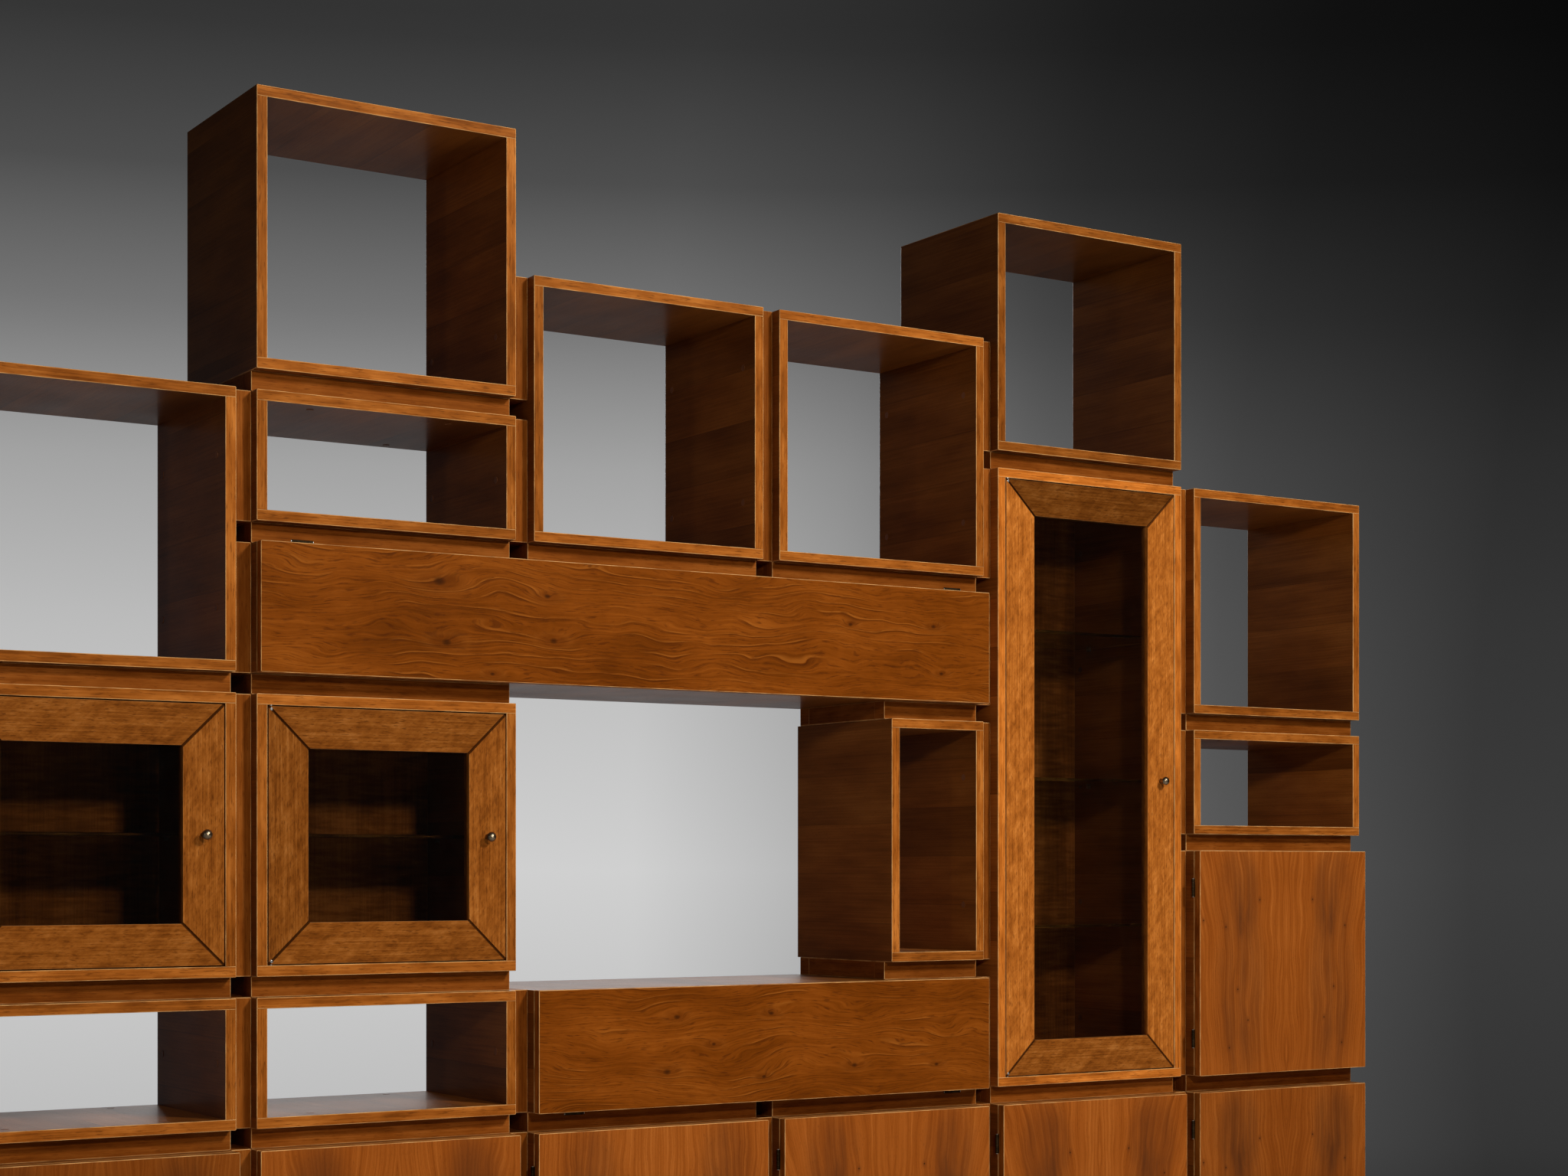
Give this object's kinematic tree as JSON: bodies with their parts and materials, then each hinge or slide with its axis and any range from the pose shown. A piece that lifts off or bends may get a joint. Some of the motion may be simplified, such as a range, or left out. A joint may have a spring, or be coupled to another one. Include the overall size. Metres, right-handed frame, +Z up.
{
  "type": "cube storage unit",
  "caption": "Wall unit of wooden boxes on a grid, held apart by spacer frames, with open boxes, slab doors, long flaps, glazed doors and a tall vitrine.",
  "frame": {"origin": "middle of the footprint on the floor, from the left hinge knuckles to the right side and from the front of the knobs to the back of the boxes", "axes": "+X along the unit to the right as seen from the front, +Y from the fronts towards the wall, +Z up"},
  "size_m": [2.9364, 0.361, 2.259],
  "materials": {
    "box_wood": "satin lacquered veneer, warm brown, light edge bands",
    "back_wood": "satin lacquered veneer",
    "door_wood": "satin lacquered bookmatched veneer with the grain upright",
    "flap_wood": "satin lacquered crown-cut veneer with the grain lengthwise",
    "frame_wood": "satin lacquered mottled veneer, grain along each member",
    "spacer_wood": "satin lacquered, warm brown",
    "steel": "plain, slightly worn",
    "brass": "darkened with age",
    "clear_glass": "clear, polished",
    "catch_plastic": "brown moulded"
  },
  "bodies": {
    "cabinet": {"base_box_1": "box_wood", "base_box_2": "box_wood", "base_box_3": "box_wood", "base_box_4": "box_wood", "base_box_5": "box_wood", "base_box_6": "box_wood", "low_half_box_1": "box_wood", "low_half_box_2": "box_wood", "drop_flap_box": "box_wood", "glazed_box_1": "box_wood", "glazed_box_2": "box_wood", "narrow_box": "box_wood", "lift_flap_box": "box_wood", "open_cube_1": "box_wood", "high_half_box": "box_wood", "open_cube_2": "box_wood", "open_cube_3": "box_wood", "top_cube_1": "box_wood", "vitrine_box": "box_wood", "top_cube_2": "box_wood", "cupboard_box": "box_wood", "right_half_box": "box_wood", "open_cube_4": "box_wood", "plinth": "spacer_wood", "stacking_spacers": "spacer_wood", "side_spacers": "spacer_wood", "connector_bolts": "steel", "back_panels": "back_wood", "glass_shelves": "clear_glass", "shelf_pins": "brass", "hinge_leaves": "steel", "hinge_pins": "steel", "magnet_catches": "catch_plastic"},
    "base_door_1": {"base_door_1": "door_wood", "base_door_1_fittings": "steel"},
    "base_door_2": {"base_door_2": "door_wood", "base_door_2_fittings": "steel"},
    "base_door_3": {"base_door_3": "door_wood", "base_door_3_fittings": "steel"},
    "base_door_4": {"base_door_4": "door_wood", "base_door_4_fittings": "steel"},
    "base_door_5": {"base_door_5": "door_wood", "base_door_5_fittings": "steel"},
    "base_door_6": {"base_door_6": "door_wood", "base_door_6_fittings": "steel"},
    "drop_flap": {"drop_flap": "flap_wood", "drop_flap_fittings": "steel"},
    "glazed_door_1": {"glazed_door_1_frame": "frame_wood", "glazed_door_1_glass": "clear_glass", "glazed_door_1_fittings": "brass"},
    "glazed_door_2": {"glazed_door_2_frame": "frame_wood", "glazed_door_2_glass": "clear_glass", "glazed_door_2_fittings": "brass"},
    "lift_flap": {"lift_flap": "flap_wood", "lift_flap_fittings": "steel"},
    "vitrine_door": {"vitrine_door_frame": "frame_wood", "vitrine_door_glass": "clear_glass", "vitrine_door_fittings": "brass"},
    "cupboard_door": {"cupboard_door": "door_wood", "cupboard_door_fittings": "steel"}
  },
  "joints": [
    {"name": "base_door_1_hinge", "type": "hinge", "parent": "cabinet", "child": "base_door_1", "pos_m": [-1.4652, -0.16025, 0.3], "axis": [0, 0, -1], "range_deg": [0, 95]},
    {"name": "base_door_2_hinge", "type": "hinge", "parent": "cabinet", "child": "base_door_2", "pos_m": [-0.9712, -0.16025, 0.3], "axis": [0, 0, -1], "range_deg": [0, 95]},
    {"name": "base_door_3_hinge", "type": "hinge", "parent": "cabinet", "child": "base_door_3", "pos_m": [-0.4772, -0.16025, 0.3], "axis": [0, 0, -1], "range_deg": [0, 95]},
    {"name": "base_door_4_hinge", "type": "hinge", "parent": "cabinet", "child": "base_door_4", "pos_m": [0.0168, -0.16025, 0.3], "axis": [0, 0, -1], "range_deg": [0, 95]},
    {"name": "base_door_5_hinge", "type": "hinge", "parent": "cabinet", "child": "base_door_5", "pos_m": [0.5108, -0.16025, 0.3], "axis": [0, 0, -1], "range_deg": [0, 95]},
    {"name": "base_door_6_hinge", "type": "hinge", "parent": "cabinet", "child": "base_door_6", "pos_m": [1.0048, -0.16025, 0.3], "axis": [0, 0, -1], "range_deg": [0, 95]},
    {"name": "drop_flap_hinge", "type": "hinge", "parent": "cabinet", "child": "drop_flap", "pos_m": [0.0032, -0.16025, 0.5606], "axis": [1, 0, 0], "range_deg": [0, 90]},
    {"name": "glazed_door_1_hinge", "type": "hinge", "parent": "cabinet", "child": "glazed_door_1", "pos_m": [-1.4368, -0.156, 1.041], "axis": [0, 0, -1], "range_deg": [0, 95]},
    {"name": "glazed_door_2_hinge", "type": "hinge", "parent": "cabinet", "child": "glazed_door_2", "pos_m": [-0.9428, -0.156, 1.041], "axis": [0, 0, -1], "range_deg": [0, 95]},
    {"name": "lift_flap_hinge", "type": "hinge", "parent": "cabinet", "child": "lift_flap", "pos_m": [-0.2438, -0.16025, 1.5214], "axis": [-1, 0, 0], "range_deg": [0, 90]},
    {"name": "vitrine_door_hinge", "type": "hinge", "parent": "cabinet", "child": "vitrine_door", "pos_m": [0.5392, -0.156, 1.1645], "axis": [0, 0, -1], "range_deg": [0, 95]},
    {"name": "cupboard_door_hinge", "type": "hinge", "parent": "cabinet", "child": "cupboard_door", "pos_m": [1.0048, -0.16025, 0.794], "axis": [0, 0, -1], "range_deg": [0, 95]}
  ]
}
